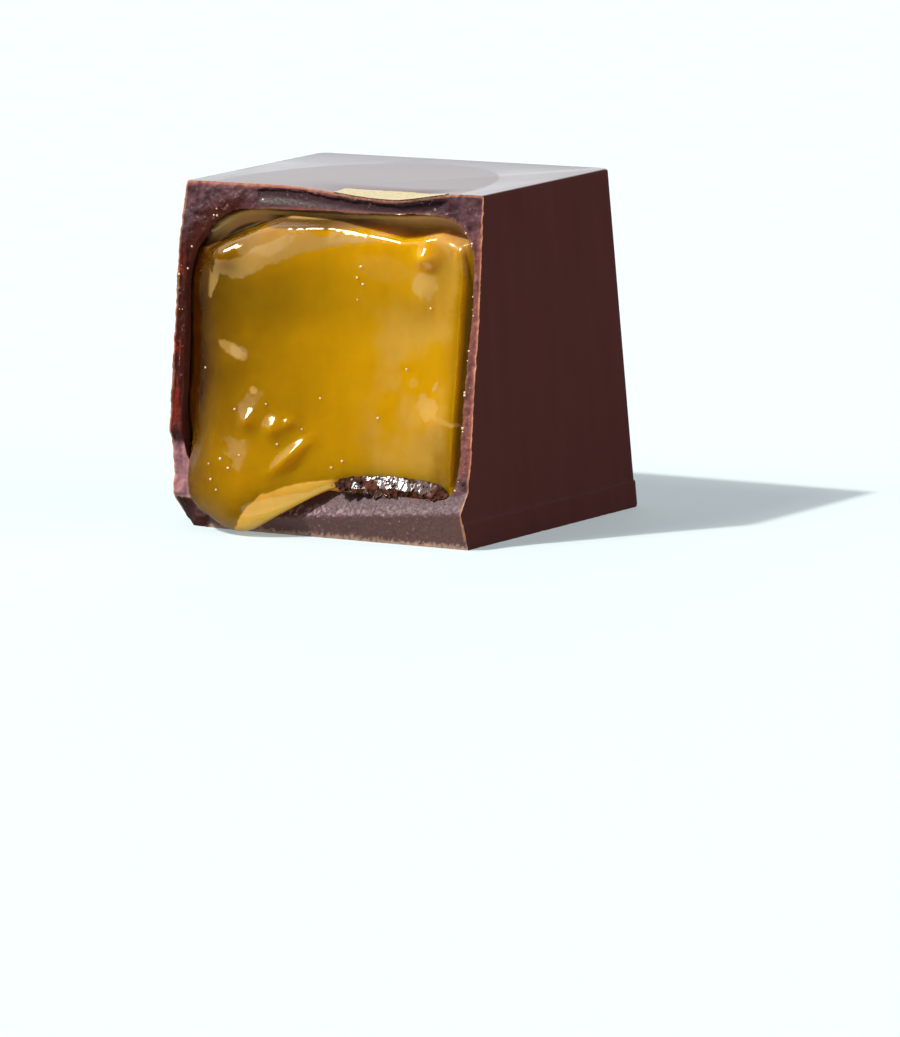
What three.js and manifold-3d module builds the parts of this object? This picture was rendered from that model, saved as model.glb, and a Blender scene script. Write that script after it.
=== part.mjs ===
// A filled chocolate bonbon, moulded as a tapered cube and cut open at the front.
// A thin dark chocolate shell holds a soft caramel, which bulges out of the cut
// and runs down over its lower left edge. A gold square is printed on the top face.
//
// Millimetres, +Z up. +X runs along the cut, and the cut looks towards -Y.
// While it is modelled, x = 0 and y = 0 are the middle of the whole, uncut base.
// At the end the origin is moved to the middle of the underside of what is left.

import * as THREE from 'three';
import { mergeVertices } from 'three/addons/utils/BufferGeometryUtils.js';
import Module from 'manifold-3d';

const wasm = await Module();
wasm.setup();

const { clamp, lerp } = THREE.MathUtils;

// Driving dimensions

// The moulded cube
const TOP_SIDE = 24.1;
const BASE_SIDE = 25.0;
const HEIGHT = 21.6;
const UPRIGHT_EDGE_ROUNDING = 0.6;

// The hollow in the shell, as [x, z, how far the corner is rounded], clockwise from the top left
const HOLLOW_CORNERS = [
  [-11.55, 20.0, 5.6],
  [11.7, 20.45, 4.2],
  [11.4, 2.95, 1.3],
  [-11.3, 2.8, 2.6],
];
const BACK_WALL = 0.9;

// Where the cut crosses the left and the right wall, as [height, depth], from the base up
const LEFT_WALL_CUT = [
  [0.0, -4.3],
  [1.8, -3.75],
  [3.1, -3.5],
  [5.3, -3.6],
  [5.9, -3.8],
  [14.1, -2.57],
  [17.8, -2.06],
  [HEIGHT, -0.97],
];
const RIGHT_WALL_CUT = [
  [3.35, -4.1],
  [5.2, -3.55],
  [9.2, -2.85],
  [14.0, -1.8],
  [19.5, -0.85],
  [HEIGHT, -0.5],
];

// The thick base sticks out in a low ridge, which climbs to the right
const BASE_FOOT_DEPTH = -4.5;
const RIDGE_DEPTH = -4.9;
const RIDGE_HEIGHT = 1.35;
const RIDGE_CLIMB = 0.075;
const RIDGE_FALLS_BACK = 0.7;
const BASE_STARTS = [-11.5, -6.0];

// The lower left corner is broken off: how far in from the left, how far back, how far up
const BROKEN_ACROSS = 2.2;
const BROKEN_BACK = 2.0;
const BROKEN_UP = 1.9;

// Right of its middle the top wall is pushed out and pressed down where it was cut
const LIP_X = 5.8;
const LIP_LEFT_REACH = 10.5;
const LIP_RIGHT_REACH = 4.6;
const LIP_FORWARD = 1.3;
const LIP_DROP = 0.38;
const LIP_DROP_REACH = 2.6;
const LIP_STARTS = [19.0, 20.4];

// Crumbs and ridges of the broken chocolate
const CRAG_DEPTH = 0.07;
const CRAG_LENGTH = 1.9;

// The caramel's outline at the cut, as [x, z, rounding], clockwise from the top left.
// The fifth and sixth corners are the tip and the left side of the run that hangs down.
const CARAMEL_MIDDLE = [0, 11];
const CARAMEL_CORNERS = [
  [-10.7, 19.5, 5.6],
  [11.2, 20.05, 4.2],
  [11.0, 3.3, 1.2],
  [1.9, 3.45, 1.4],
  [-5.1, -0.32, 1.7],
  [-10.6, 2.2, 2.2],
  [-10.85, 6.5, 1.6],
];
const CARAMEL_SIDE_GAP = 0.4;
const CARAMEL_BACK_GAP = 0.3;
const CARAMEL_BACK_ROUNDING = 1.5;

// The caramel's front is a pillow: it bulges out of the cut and falls back at its rim
const PILLOW_BULGE = 0.75;
const PILLOW_FALLS_BACK = 1.5;
const PILLOW_SHOULDER = 5;

// The run bulges most at its middle, and lies on the base with a small gap
const RUN_BULGE = 1.9;
const RUN_MIDDLE = [-5.6, 3.6];
const RUN_SIZE = [5.4, 5.2];
const RUN_GAP = 0.42;
const RUN_BELOW = [9.0, 2.0];
const RUN_LEFT_OF = [4.0, 1.4];
const LOWEST_WALL_CUT = 4;

// The gold print on the top face, cut through with it
const GOLD_SIDE = 8.5;
const GOLD_LEFT = 0.55;
const GOLD_BACK = -0.3;
const GOLD_THICKNESS = 0.05;

// How finely the curved faces are divided
const CUT_CELLS = 64;
const LIP_CELLS = [24, 12];
const OUTLINE_STEPS = 10;
const CARAMEL_ROUND = 96;
const CARAMEL_FRONT_RINGS = 20;
const CARAMEL_RIM_RINGS = 3;

// How far the cutting blocks reach past the cube
const CLEAR = 6;

// Small helpers

// Goes smoothly from 0 at the first end to 1 at the second
function smooth(value, [from, to]) {
  const share = clamp((value - from) / (to - from), 0, 1);
  return share * share * (3 - 2 * share);
}

// The second number of a list of pairs, where the first has the given value
function along(pairs, value) {
  const after = pairs.findIndex(([first]) => first >= value);
  if (after === -1) return pairs.at(-1)[1];
  if (after === 0) return pairs[0][1];
  const [from, to] = [pairs[after - 1], pairs[after]];
  return lerp(from[1], to[1], (value - from[0]) / (to[0] - from[0]));
}

function toSolid(geometry) {
  const bare = geometry.clone();
  bare.deleteAttribute('normal');
  bare.deleteAttribute('uv');
  const welded = mergeVertices(bare);
  return new wasm.Manifold(new wasm.Mesh({
    numProp: 3,
    vertProperties: new Float32Array(welded.attributes.position.array),
    triVerts: new Uint32Array(welded.index.array),
  }));
}

function toGeometry(solid) {
  const mesh = solid.getMesh();
  const geometry = new THREE.BufferGeometry();
  geometry.setAttribute('position', new THREE.BufferAttribute(mesh.vertProperties, 3));
  geometry.setIndex(new THREE.BufferAttribute(mesh.triVerts, 1));
  geometry.computeVertexNormals();
  return geometry;
}

// A closed outline with straight sides and rounded corners
function roundedOutline(corners) {
  const shape = new THREE.Shape();
  corners.forEach(([x, z, rounding], i) => {
    const corner = new THREE.Vector2(x, z);
    const before = new THREE.Vector2(...corners.at(i - 1));
    const after = new THREE.Vector2(...corners[(i + 1) % corners.length]);
    const start = corner.clone().add(before.sub(corner).setLength(rounding));
    const end = corner.clone().add(after.sub(corner).setLength(rounding));
    if (i === 0) shape.moveTo(start.x, start.y);
    else shape.lineTo(start.x, start.y);
    shape.quadraticCurveTo(x, z, end.x, end.y);
  });
  shape.closePath();
  return shape;
}

// A block whose high y face or low z face is moved, point by point, to where a function puts it
function blockWithFace(low, high, cells, axis, place) {
  const size = high.clone().sub(low);
  const middle = low.clone().add(high).divideScalar(2);
  const geometry = new THREE.BoxGeometry(...size.toArray(), ...cells);
  geometry.translate(...middle.toArray());
  const position = geometry.attributes.position;
  const face = axis === 'y' ? high.y : low.z;
  const point = new THREE.Vector3();
  for (let i = 0; i < position.count; i += 1) {
    point.fromBufferAttribute(position, i);
    if (Math.abs(point[axis] - face) < 1e-4) {
      point[axis] = place(point);
      position.setXYZ(i, ...point.toArray());
    }
  }
  return toSolid(geometry);
}

// The cut

// 1 at the middle of the lip, 0 past its ends
function lip(x) {
  const reach = x < LIP_X ? LIP_LEFT_REACH : LIP_RIGHT_REACH;
  return 1 - smooth(Math.abs(x - LIP_X), [0, reach]);
}

function crag(x, z) {
  const u = (2 * Math.PI * x) / CRAG_LENGTH;
  const v = (2 * Math.PI * z) / CRAG_LENGTH;
  const coarse = Math.sin(u + 1.3 * Math.sin(0.6 * v)) * Math.cos(v + 1.1 * Math.sin(0.7 * u));
  const fine = Math.sin(2.3 * u + 0.9 * v) * Math.sin(1.9 * v - 0.8 * u + 1.7);
  return CRAG_DEPTH * (coarse + 0.6 * fine);
}

// The thick base, whose ridge juts out in front of the walls
function baseCut(x, z) {
  const ridge = RIDGE_HEIGHT + RIDGE_CLIMB * x;
  if (z < ridge) return lerp(BASE_FOOT_DEPTH, RIDGE_DEPTH, z / ridge);
  return RIDGE_DEPTH + RIDGE_FALLS_BACK * (z - ridge);
}

function brokenCorner(x, z) {
  const inset = clamp((BROKEN_ACROSS - BASE_SIDE / 2 - x) / BROKEN_ACROSS, 0, 1);
  return BROKEN_BACK * inset * clamp(1 - z / BROKEN_UP, 0, 1);
}

// The y of the cut, without its crumbs
function plainCut(x, z) {
  const across = smooth(x, [-TOP_SIDE / 2, TOP_SIDE / 2]);
  const wall = lerp(along(LEFT_WALL_CUT, z), along(RIGHT_WALL_CUT, z), across);
  const body = lerp(wall, Math.min(wall, baseCut(x, z)), smooth(x, BASE_STARTS));
  return body + brokenCorner(x, z) - LIP_FORWARD * lip(x) * smooth(z, LIP_STARTS);
}

function makeCutBlock() {
  const reach = BASE_SIDE / 2 + 1;
  const low = new THREE.Vector3(-reach, -BASE_SIDE / 2 - CLEAR, -1);
  const high = new THREE.Vector3(reach, 0, HEIGHT + 1);
  return blockWithFace(low, high, [CUT_CELLS, 1, CUT_CELLS], 'y', ({ x, z }) => (
    plainCut(x, clamp(z, 0, HEIGHT)) + crag(x, z)
  ));
}

// The space above the top face, which sinks towards the lip
function makeSpaceAbove(lift) {
  const low = new THREE.Vector3(LIP_X - LIP_LEFT_REACH, -CLEAR, HEIGHT);
  const high = new THREE.Vector3(LIP_X + LIP_RIGHT_REACH, 1, HEIGHT + 1);
  const skim = 1e-3;
  return blockWithFace(low, high, [...LIP_CELLS, 1], 'z', ({ x, y }) => {
    const behind = y - plainCut(x, HEIGHT);
    const drop = LIP_DROP * lip(x) * (1 - smooth(behind, [0, LIP_DROP_REACH]));
    return HEIGHT + lift - (drop > skim ? drop : -skim);
  });
}

// The shell

function makeWholeCube() {
  const half = TOP_SIDE / 2;
  const corners = [[-half, half], [half, half], [half, -half], [-half, -half]];
  const outline = roundedOutline(corners.map(([x, y]) => [x, y, UPRIGHT_EDGE_ROUNDING]));
  const geometry = new THREE.ExtrudeGeometry(outline, {
    depth: HEIGHT,
    bevelEnabled: false,
    curveSegments: 4,
  });
  const position = geometry.attributes.position;
  for (let i = 0; i < position.count; i += 1) {
    const flare = position.getZ(i) < HEIGHT / 2 ? BASE_SIDE / TOP_SIDE : 1;
    position.setXY(i, position.getX(i) * flare, position.getY(i) * flare);
  }
  return toSolid(geometry);
}

function makeHollow() {
  const geometry = new THREE.ExtrudeGeometry(roundedOutline(HOLLOW_CORNERS), {
    depth: TOP_SIDE,
    bevelEnabled: false,
    curveSegments: 8,
  });
  geometry.rotateX(Math.PI / 2);
  geometry.translate(0, TOP_SIDE / 2 - BACK_WALL, 0);
  return toSolid(geometry);
}

function makeShell() {
  return makeWholeCube()
    .subtract(makeHollow())
    .subtract(makeCutBlock())
    .subtract(makeSpaceAbove(0));
}

// The caramel

const caramelOutline = roundedOutline(CARAMEL_CORNERS).getPoints(OUTLINE_STEPS);
const hollowOutline = roundedOutline(HOLLOW_CORNERS).getPoints(OUTLINE_STEPS);

// How far away an outline is from the caramel's middle, in one direction
function reachTo(outline, angle) {
  const [mx, mz] = CARAMEL_MIDDLE;
  const [wx, wz] = [Math.cos(angle), Math.sin(angle)];
  const slack = 1e-9;
  const crossings = outline.map((point, i) => {
    const next = outline[(i + 1) % outline.length];
    const [ax, az] = [point.x - mx, point.y - mz];
    const [ex, ez] = [next.x - point.x, next.y - point.y];
    const turn = wx * ez - wz * ex;
    const share = (wz * ax - wx * az) / turn;
    return share >= -slack && share <= 1 + slack ? (ax * ez - az * ex) / turn : 0;
  });
  return Math.max(...crossings);
}

// The y of the caramel's front, at a point that is a share of the way out to its rim
function frontDepth(x, z, share) {
  const shoulder = Math.sqrt(1 - share ** PILLOW_SHOULDER);
  const [aside, above] = [(x - RUN_MIDDLE[0]) / RUN_SIZE[0], (z - RUN_MIDDLE[1]) / RUN_SIZE[1]];
  const bulge = PILLOW_BULGE + RUN_BULGE * Math.exp(-aside * aside - above * above);
  const inRun = smooth(z, RUN_BELOW) * smooth(x, RUN_LEFT_OF);
  const cut = plainCut(x, lerp(Math.max(z, LOWEST_WALL_CUT), z, inRun));
  const rim = lerp(PILLOW_FALLS_BACK, -RUN_GAP, inRun);
  return cut - bulge * shoulder + rim * (1 - shoulder);
}

// A point of the caramel. The angle goes round the opening. The step goes from the middle of
// the front out to the rim, then in behind it, and through the shell to the middle of the back.
function caramelPoint(angle, step) {
  const at = (reach) => [
    CARAMEL_MIDDLE[0] + Math.cos(angle) * reach,
    CARAMEL_MIDDLE[1] + Math.sin(angle) * reach,
  ];
  const outer = reachTo(caramelOutline, angle);
  const inner = Math.min(outer, reachTo(hollowOutline, angle) - CARAMEL_SIDE_GAP);
  if (step <= CARAMEL_FRONT_RINGS) {
    const share = Math.sin((step / CARAMEL_FRONT_RINGS) * (Math.PI / 2));
    const [x, z] = at(outer * share);
    return [x, frontDepth(x, z, share), z];
  }
  const behind = step - CARAMEL_FRONT_RINGS;
  if (behind <= CARAMEL_RIM_RINGS) {
    const share = behind / CARAMEL_RIM_RINGS;
    const [x, z] = at(lerp(outer, inner, share));
    const hanging = outer > inner;
    return [x, hanging ? plainCut(x, z) - RUN_GAP : frontDepth(x, z, 1) + share, z];
  }
  const back = TOP_SIDE / 2 - BACK_WALL - CARAMEL_BACK_GAP;
  const backRings = [
    [inner, back - CARAMEL_BACK_ROUNDING],
    [inner - CARAMEL_BACK_ROUNDING, back],
    [0, back],
  ];
  const [reach, y] = backRings[behind - CARAMEL_RIM_RINGS - 1];
  const [x, z] = at(reach);
  return [x, y, z];
}

function makeCaramel() {
  const rings = CARAMEL_FRONT_RINGS + CARAMEL_RIM_RINGS + 3;
  const geometry = new THREE.SphereGeometry(1, CARAMEL_ROUND, rings);
  const { position, uv } = geometry.attributes;
  for (let i = 0; i < position.count; i += 1) {
    const round = Math.round(uv.getX(i) * CARAMEL_ROUND) % CARAMEL_ROUND;
    const step = Math.round((1 - uv.getY(i)) * rings);
    position.setXYZ(i, ...caramelPoint((2 * Math.PI * round) / CARAMEL_ROUND, step));
  }
  return toSolid(geometry);
}

// The gold print, a thin skin that lies on the top face and bends down with it

function makeGold() {
  const square = new THREE.BoxGeometry(GOLD_SIDE, GOLD_SIDE, 2);
  square.translate(GOLD_LEFT + GOLD_SIDE / 2, GOLD_BACK - GOLD_SIDE / 2, HEIGHT);
  const belowSkin = new THREE.BoxGeometry(TOP_SIDE, TOP_SIDE, 2);
  belowSkin.translate(0, 0, HEIGHT - 1 + GOLD_THICKNESS);
  return toSolid(square)
    .intersect(toSolid(belowSkin).subtract(makeSpaceAbove(GOLD_THICKNESS)))
    .subtract(makeWholeCube().subtract(makeSpaceAbove(0)))
    .subtract(makeCutBlock());
}

// The three pieces, each with its own material

const darkChocolate = new THREE.MeshStandardMaterial({ color: '#3f2224', roughness: 0.3 });
const softCaramel = new THREE.MeshStandardMaterial({ color: '#c48c06', roughness: 0.1 });
const goldPowder = new THREE.MeshStandardMaterial({ color: '#c9ae55', roughness: 0.45, metalness: 0.9 });

function piece(name, solid, material) {
  const mesh = new THREE.Mesh(toGeometry(solid), material);
  mesh.name = name;
  return mesh;
}

const bonbon = new THREE.Group();
bonbon.name = 'filled_bonbon';
bonbon.add(piece('shell', makeShell(), darkChocolate));
bonbon.add(piece('caramel_filling', makeCaramel(), softCaramel));
bonbon.add(piece('gold_square', makeGold(), goldPowder));

// The origin goes to the middle of the underside
const box = new THREE.Box3().setFromObject(bonbon);
const middle = box.getCenter(new THREE.Vector3());
bonbon.children.forEach((mesh) => mesh.geometry.translate(-middle.x, -middle.y, -box.min.z));

export default bonbon;
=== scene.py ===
"""The looks of a filled chocolate bonbon, cut open at the front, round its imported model."""

import math
import random
from functools import partial

import bmesh
import bpy
from mathutils import Matrix, Vector, noise


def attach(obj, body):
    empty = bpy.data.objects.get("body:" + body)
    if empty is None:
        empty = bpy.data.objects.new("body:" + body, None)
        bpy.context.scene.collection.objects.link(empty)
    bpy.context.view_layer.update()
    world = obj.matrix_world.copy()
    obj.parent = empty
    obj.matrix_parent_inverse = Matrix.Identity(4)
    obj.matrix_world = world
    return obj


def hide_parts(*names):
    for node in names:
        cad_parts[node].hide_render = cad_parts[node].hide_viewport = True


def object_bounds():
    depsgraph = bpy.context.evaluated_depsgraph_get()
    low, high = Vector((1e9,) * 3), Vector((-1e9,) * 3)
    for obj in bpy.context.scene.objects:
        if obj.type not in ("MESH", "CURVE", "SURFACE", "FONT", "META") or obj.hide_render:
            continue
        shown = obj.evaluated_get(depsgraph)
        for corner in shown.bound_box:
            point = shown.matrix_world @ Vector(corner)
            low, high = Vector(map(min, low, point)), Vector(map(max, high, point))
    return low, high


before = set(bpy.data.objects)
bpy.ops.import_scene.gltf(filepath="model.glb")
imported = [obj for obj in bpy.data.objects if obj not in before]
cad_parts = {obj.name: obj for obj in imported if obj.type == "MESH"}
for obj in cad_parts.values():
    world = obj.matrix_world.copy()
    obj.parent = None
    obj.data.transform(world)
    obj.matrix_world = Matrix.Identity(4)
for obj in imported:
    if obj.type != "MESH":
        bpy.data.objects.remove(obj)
cad_low, cad_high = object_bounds()

# Sizes are in mm. They count from the middle of the whole, uncut base, and the cut looks towards -Y.
MM = 0.001
BASE_SIDE = (cad_high.x - cad_low.x) / MM
TOP_SIDE = 24.1
HEIGHT = cad_high.z / MM
UPRIGHT_EDGE_ROUNDING = 0.6
TOP_EDGE_ROUNDING = 0.16
FOOT_HEIGHT = 1.68
FOOT_PROUD = 0.07

# The row frame's origin lies under the middle of what is left of the cube
TO_ROW = Matrix.Translation((0, cad_high.y - BASE_SIDE / 2 * MM, 0)) @ Matrix.Scale(MM, 4)

# The hollow, as (x, z, how far the corner is rounded), clockwise from the top left
HOLLOW_CORNERS = [(-11.55, 20.0, 5.6), (11.7, 20.45, 4.2), (11.4, 2.95, 1.3), (-11.3, 2.8, 2.6)]
BACK_WALL = 0.9

# Where the cut crosses the left and the right wall, as (height, depth), from the base up
LEFT_WALL_CUT = [
    (0, -4.3), (1.8, -3.75), (3.1, -3.5), (5.3, -3.6),
    (5.9, -3.8), (14.1, -2.57), (17.8, -2.06), (HEIGHT, -0.97),
]
RIGHT_WALL_CUT = [(3.35, -4.1), (5.2, -3.55), (9.2, -2.85), (14, -1.8), (19.5, -0.85), (HEIGHT, -0.5)]

# The thick base juts out in a low ridge, and its left corner is broken off
BASE_FOOT_DEPTH = -4.5
RIDGE_DEPTH = -4.9
RIDGE_HEIGHT = 1.35
RIDGE_CLIMB = 0.075
RIDGE_FALLS_BACK = 0.7
BASE_STARTS = (-11.5, -6.0)
BROKEN_ACROSS = 2.2
BROKEN_BACK = 2.0
BROKEN_UP = 1.9

# Right of its middle the top wall is pushed out and pressed down where it was cut
LIP_X = 5.8
LIP_LEFT_REACH = 10.5
LIP_RIGHT_REACH = 4.6
LIP_FORWARD = 1.3
LIP_DROP = 0.38
LIP_DROP_REACH = 2.6
LIP_STARTS = (19.0, 20.4)

# The caramel's outline at the cut
MIDDLE = (0.0, 11.0)
CARAMEL_CORNERS = [
    (-10.7, 19.5, 5.6), (11.2, 20.05, 4.2), (11.0, 3.3, 1.2), (1.9, 3.45, 1.4),
    (-5.8, -0.32, 1.7), (-10.9, 2.2, 2.4), (-10.9, 6.5, 1.6),
]
CARAMEL_BACK_GAP = 0.3

# The gold print on the top face
GOLD_SIDE = 8.5
GOLD_LEFT = 0.55
GOLD_BACK = -0.3
GOLD_THICKNESS = 0.05

# How finely the faces are divided
CUT_CELL = 0.1
OUTLINE_STEPS = 10
REACH_STEPS = 1440

random.seed(11)


# Small helpers

def clamp(value, low=0.0, high=1.0):
    return max(low, min(high, value))


def lerp(start, end, share):
    return start + (end - start) * share


def smooth(value, start, end):
    """Goes smoothly from 0 at the start to 1 at the end."""
    share = clamp((value - start) / (end - start))
    return share * share * (3 - 2 * share)


def along(pairs, value):
    """The second number of a list of pairs, where the first has the given value."""
    if value <= pairs[0][0]:
        return pairs[0][1]
    for (start, low), (end, high) in zip(pairs, pairs[1:]):
        if value <= end:
            return lerp(low, high, (value - start) / (end - start))
    return pairs[-1][1]


def grain(x, y, z, size, octaves=3):
    """Even noise of about -1 to 1, whose lumps have the given size."""
    return noise.fractal(Vector((x, y, z)) / size, 1.0, 2.0, octaves)


def rounded_outline(corners):
    """The points of a closed outline with straight sides and rounded corners."""
    points = []
    for i, (x, z, rounding) in enumerate(corners):
        corner = Vector((x, z))
        before = Vector(corners[i - 1][:2])
        after = Vector(corners[(i + 1) % len(corners)][:2])
        start = corner + (before - corner).normalized() * rounding
        end = corner + (after - corner).normalized() * rounding
        for step in range(OUTLINE_STEPS + 1):
            share = step / OUTLINE_STEPS
            points.append(start.lerp(corner, share).lerp(corner.lerp(end, share), share))
    return points


def reaches(corners):
    """How far an outline is from the middle, in even steps round."""
    points = [point - Vector(MIDDLE) for point in rounded_outline(corners)]
    found = []
    for step in range(REACH_STEPS):
        angle = 2 * math.pi * step / REACH_STEPS
        way = Vector((math.cos(angle), math.sin(angle)))
        far = 0.0
        for start, end in zip(points, points[1:] + points[:1]):
            side = end - start
            turn = way.x * side.y - way.y * side.x
            if abs(turn) < 1e-9:
                continue
            share = (way.y * start.x - way.x * start.y) / turn
            if -1e-6 <= share <= 1 + 1e-6:
                far = max(far, (start.x * side.y - start.y * side.x) / turn)
        found.append(far)
    return found


def reach_at(table, angle):
    place = (angle / (2 * math.pi)) % 1 * REACH_STEPS
    step = int(place)
    return lerp(table[step % REACH_STEPS], table[(step + 1) % REACH_STEPS], place - step)


HOLLOW_REACH = reaches(HOLLOW_CORNERS)
CARAMEL_REACH = reaches(CARAMEL_CORNERS)


def round_middle(x, z):
    """The angle and the distance of a point from the middle of the opening."""
    return math.atan2(z - MIDDLE[1], x - MIDDLE[0]), math.hypot(x - MIDDLE[0], z - MIDDLE[1])


# The cut

def lip(x):
    reach = LIP_LEFT_REACH if x < LIP_X else LIP_RIGHT_REACH
    return 1 - smooth(abs(x - LIP_X), 0, reach)


def ridge_at(x):
    """The height of the base's ridge."""
    return RIDGE_HEIGHT + RIDGE_CLIMB * x


def base_cut(x, z):
    ridge = ridge_at(x)
    if z < ridge:
        return lerp(BASE_FOOT_DEPTH, RIDGE_DEPTH, z / ridge)
    return RIDGE_DEPTH + RIDGE_FALLS_BACK * (z - ridge)


def plain_cut(x, z):
    """The y of the cut, without its crumbs."""
    share = smooth(x, -TOP_SIDE / 2, TOP_SIDE / 2)
    wall = lerp(along(LEFT_WALL_CUT, z), along(RIGHT_WALL_CUT, z), share)
    body = lerp(wall, min(wall, base_cut(x, z)), smooth(x, *BASE_STARTS))
    inset = clamp((BROKEN_ACROSS - BASE_SIDE / 2 - x) / BROKEN_ACROSS)
    broken = BROKEN_BACK * inset * clamp(1 - z / BROKEN_UP)
    return body + broken - LIP_FORWARD * lip(x) * smooth(z, *LIP_STARTS)


def top_drop(x, y):
    """How far the top face is pressed down."""
    return LIP_DROP * lip(x) * (1 - smooth(y - plain_cut(x, HEIGHT), 0, LIP_DROP_REACH))


def wall_half(z):
    """Half the cube's width at one height."""
    return lerp(BASE_SIDE, TOP_SIDE, clamp(z / HEIGHT)) / 2


# The knife left these parts of the cut smooth, and the rest is crumbly. Each pair is from none to full.
SHEAR_FROM_LEFT = (-6.1, -5.85)
SHEAR_FROM_RIGHT = (9.6, 8.8)
SHEAR_FROM_BELOW = (19.3, 19.6)
SHEAR_WANDERS = 0.25
FACETS_FROM_LEFT = (-9.2, -8.6)
FACETS_FROM_ABOVE = (3.5, 3.2)
CRUMB_DEPTH = 0.075
CRUMB_SIZE = 0.55
FINE_CRUMB_SIZE = 0.22
SMOOTH_CRUMB = 0.12

# Under the top edge a pressed strip stands proud of the smooth face
RIM_STRIP = 0.34
STRIP_WANDERS = 0.12
STEP_IN = 0.16
STEP_EDGE = 0.08
STEP_ENDS = (1.3, 0.7)

# Knife streaks on the base, and ribs on the left wall, both upright
STREAK_DEPTH = 0.012
STREAK_WIDTH = 0.12
RIB_DEPTH = 0.09
RIB_WIDTH = 0.34
RIBS_FROM_RIGHT = (-10.0, -10.8)
RIBS_FROM_BELOW = (5, 7)


def sheared(x, z):
    """1 on the smooth face under the top edge, 0 on the crumbly parts."""
    wander = SHEAR_WANDERS * grain(x, 7, z, 1.3)
    across = smooth(x + wander, *SHEAR_FROM_LEFT) * smooth(x + wander, *SHEAR_FROM_RIGHT)
    return across * smooth(z + wander, *SHEAR_FROM_BELOW)


def base_band(x, z):
    """1 on the two knife facets of the base, 0 elsewhere."""
    return smooth(x, *FACETS_FROM_LEFT) * smooth(z, *FACETS_FROM_ABOVE)


def cut_depth(x, z):
    """The y of the cut with its steps and crumbs."""
    z = clamp(z, 0, HEIGHT)
    from_top = HEIGHT - top_drop(x, plain_cut(x, HEIGHT)) - z
    smooth_part = max(sheared(x, z), base_band(x, z))
    crumbs = grain(x, 0, z, CRUMB_SIZE, 4) + 0.5 * abs(grain(x, 3, z, FINE_CRUMB_SIZE))
    crumbs *= CRUMB_DEPTH * lerp(1, SMOOTH_CRUMB, smooth_part)
    strip = RIM_STRIP + STRIP_WANDERS * grain(x, 5, 0, 0.9)
    step = STEP_IN * smooth(from_top, strip - STEP_EDGE, strip) * smooth(from_top, *STEP_ENDS)
    streaks = STREAK_DEPTH * grain(x, 0, z * 0.08, STREAK_WIDTH) * base_band(x, z)
    ribs = RIB_DEPTH * grain(x, 4, z * 0.12, RIB_WIDTH, 2)
    ribs *= smooth(x, *RIBS_FROM_RIGHT) * smooth(z, *RIBS_FROM_BELOW)
    return plain_cut(x, z) + crumbs + step * sheared(x, z) + streaks + ribs


# Meshes

def new_object(name, bm, material):
    """An object with a mesh still in mm."""
    mesh = bpy.data.meshes.new(name)
    bm.to_mesh(mesh)
    bm.free()
    mesh.materials.append(material)
    piece = bpy.data.objects.new(name, mesh)
    bpy.context.scene.collection.objects.link(piece)
    return piece


def take_away(piece, tool):
    """Cuts one object with another, whose material the new faces get."""
    boolean = piece.modifiers.new("take_away", "BOOLEAN")
    boolean.object = tool
    boolean.operation = "DIFFERENCE"
    boolean.solver = "MANIFOLD"
    boolean.material_mode = "TRANSFER"
    whole = piece.evaluated_get(bpy.context.evaluated_depsgraph_get())
    cut_mesh = bpy.data.meshes.new_from_object(whole)
    piece.modifiers.clear()
    piece.data = cut_mesh


def put_in_place(piece, node=None, sharp_over=50):
    """Brings a piece from mm to its place in the row frame, and ties it to the part."""
    piece.data.transform(TO_ROW)
    for face in piece.data.polygons:
        face.use_smooth = True
    piece.data.set_sharp_from_angle(angle=math.radians(sharp_over))
    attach(piece, "root")
    if node:
        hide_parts(node)


def bent_grid(around, rings, place):
    """A grid bent round into a closed tube, each point placed by its step round and its step along."""
    bm = bmesh.new()
    bmesh.ops.create_grid(bm, x_segments=around, y_segments=rings, size=0.5)
    for vert in bm.verts:
        vert.co = place(round((vert.co.x + 0.5) * around) % around, round((vert.co.y + 0.5) * rings))
    bmesh.ops.remove_doubles(bm, verts=bm.verts, dist=1e-6)
    bmesh.ops.holes_fill(bm, edges=[edge for edge in bm.edges if edge.is_boundary])
    bmesh.ops.recalc_face_normals(bm, faces=bm.faces)
    return bm


def block_behind_grid(cells, place, far):
    """A grid moved point by point, with a block behind it."""
    bm = bmesh.new()
    bmesh.ops.create_grid(bm, x_segments=cells[0], y_segments=cells[1], size=0.5)
    extruded = bmesh.ops.extrude_face_region(bm, geom=bm.faces[:])["geom"]
    behind = {item for item in extruded if isinstance(item, bmesh.types.BMVert)}
    for vert in bm.verts:
        shares = vert.co.x + 0.5, vert.co.y + 0.5
        vert.co = far(*shares) if vert in behind else place(*shares)
    bmesh.ops.recalc_face_normals(bm, faces=bm.faces)
    return bm


# The shell

SIDE_CELLS = 110
CORNER_CELLS = 10
LOW_HEIGHTS = [0, 0.04, 0.09, 0.15, 0.22, 0.3, 0.4, 0.55, 1.0, 1.58, 1.64, 1.7, 1.76]
WALL_ROWS = 24
ROUNDING_ROWS = 5
FOOT_EDGE = 0.06
FOOT_CHIPS = 0.1
FOOT_CHIP_SIZE = 0.5
FOOT_CHIPS_HEIGHT = 0.35


def outer_rows():
    """The heights of the outer face's rows, with how far each is drawn in."""
    rows = [(z, 0.0) for z in LOW_HEIGHTS]
    top = HEIGHT - TOP_EDGE_ROUNDING
    for step in range(1, WALL_ROWS + 1):
        rows.append((lerp(LOW_HEIGHTS[-1], top, step / WALL_ROWS), 0.0))
    for step in range(1, ROUNDING_ROWS + 1):
        turn = math.pi / 2 * step / ROUNDING_ROWS
        rows.append((top + TOP_EDGE_ROUNDING * math.sin(turn), TOP_EDGE_ROUNDING * (1 - math.cos(turn))))
    return rows


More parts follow.
